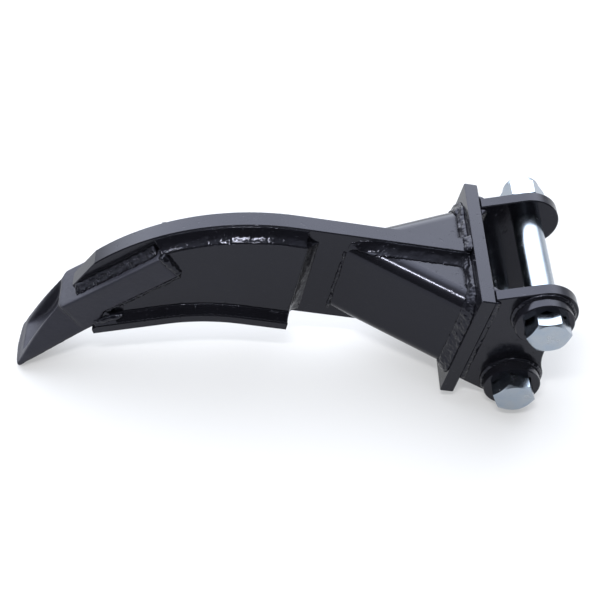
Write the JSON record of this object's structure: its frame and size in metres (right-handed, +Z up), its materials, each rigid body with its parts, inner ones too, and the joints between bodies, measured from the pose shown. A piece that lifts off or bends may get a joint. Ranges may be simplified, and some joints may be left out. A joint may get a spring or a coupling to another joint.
{
  "type": "pin-on ripper",
  "caption": "Pin-on single-shank ripper for a mini excavator: curved welded shank with forged tooth, wedge neck, head plate, two ears and through-bolted hitch pins.",
  "frame": {"origin": "middle of the gap between the ears, on the arm pin's axis (the lower pin, the one the dipper arm takes)", "axes": "+Y along the pins from the bolt heads to the nuts, +X from the tooth towards the machine, +Z up with the part resting on its tooth tip and the ears' lower lobes"},
  "size_m": [0.4831, 0.1777, 0.1583],
  "materials": {
    "black_paint": "gloss black enamel over mill-scale plate",
    "tooth_paint": "gloss black enamel over forged skin",
    "weld_paint": "gloss black enamel over rippled weld beads",
    "zinc": "bright clear zinc plate",
    "nylon": "natural nylon"
  },
  "bodies": {
    "ripper": {"shank": "black_paint", "cheek_plate_head_side": "black_paint", "cheek_plate_nut_side": "black_paint", "wear_strip": "black_paint", "tooth": "tooth_paint", "neck_channel_head_side": "black_paint", "neck_channel_nut_side": "black_paint", "head_plate": "black_paint", "ear_head_side": "black_paint", "ear_nut_side": "black_paint", "link_collar": "black_paint", "arm_collar": "black_paint", "cheek_weld_head_side": "weld_paint", "cheek_weld_nut_side": "weld_paint", "strip_weld_head_side": "weld_paint", "strip_weld_nut_side": "weld_paint", "tooth_weld_head_side": "weld_paint", "tooth_weld_nut_side": "weld_paint", "neck_weld_head_side": "weld_paint", "neck_weld_nut_side": "weld_paint", "ear_weld_head_side": "weld_paint", "ear_weld_nut_side": "weld_paint", "plate_weld": "weld_paint", "link_collar_weld": "weld_paint", "arm_collar_weld": "weld_paint"},
    "link_bolt": {"link_bolt": "zinc"},
    "link_washers": {"link_flat_washer": "zinc", "link_lock_washer": "zinc"},
    "link_nut": {"link_nut": "zinc", "link_nut_insert": "nylon"},
    "arm_bolt": {"arm_bolt": "zinc"},
    "arm_washers": {"arm_flat_washer": "zinc", "arm_lock_washer": "zinc"},
    "arm_nut": {"arm_nut": "zinc", "arm_nut_insert": "nylon"}
  },
  "joints": [
    {"name": "link_bolt_draw", "type": "slide", "parent": "ripper", "child": "link_bolt", "axis": [0, -1, 0], "range_m": [0, 0.22]},
    {"name": "link_washers_slide", "type": "slide", "parent": "ripper", "child": "link_washers", "axis": [0, 1, 0], "range_m": [0, 0.0275]},
    {"name": "link_nut_spin", "type": "hinge", "parent": "link_washers", "child": "link_nut", "pos_m": [0.01944, 0.07, 0.07834], "axis": [0, 1, 0], "range_deg": [0, 3961]},
    {"name": "arm_bolt_draw", "type": "slide", "parent": "ripper", "child": "arm_bolt", "axis": [0, -1, 0], "range_m": [0, 0.22]},
    {"name": "arm_washers_slide", "type": "slide", "parent": "ripper", "child": "arm_washers", "axis": [0, 1, 0], "range_m": [0, 0.0275]},
    {"name": "arm_nut_spin", "type": "hinge", "parent": "arm_washers", "child": "arm_nut", "pos_m": [0, 0.07, 0], "axis": [0, 1, 0], "range_deg": [0, 3961]}
  ],
  "couplings": [
    {"joint": "link_nut_spin", "follows": "link_washers_slide", "rad_per_m": 2513.3},
    {"joint": "arm_nut_spin", "follows": "arm_washers_slide", "rad_per_m": 2513.3}
  ]
}
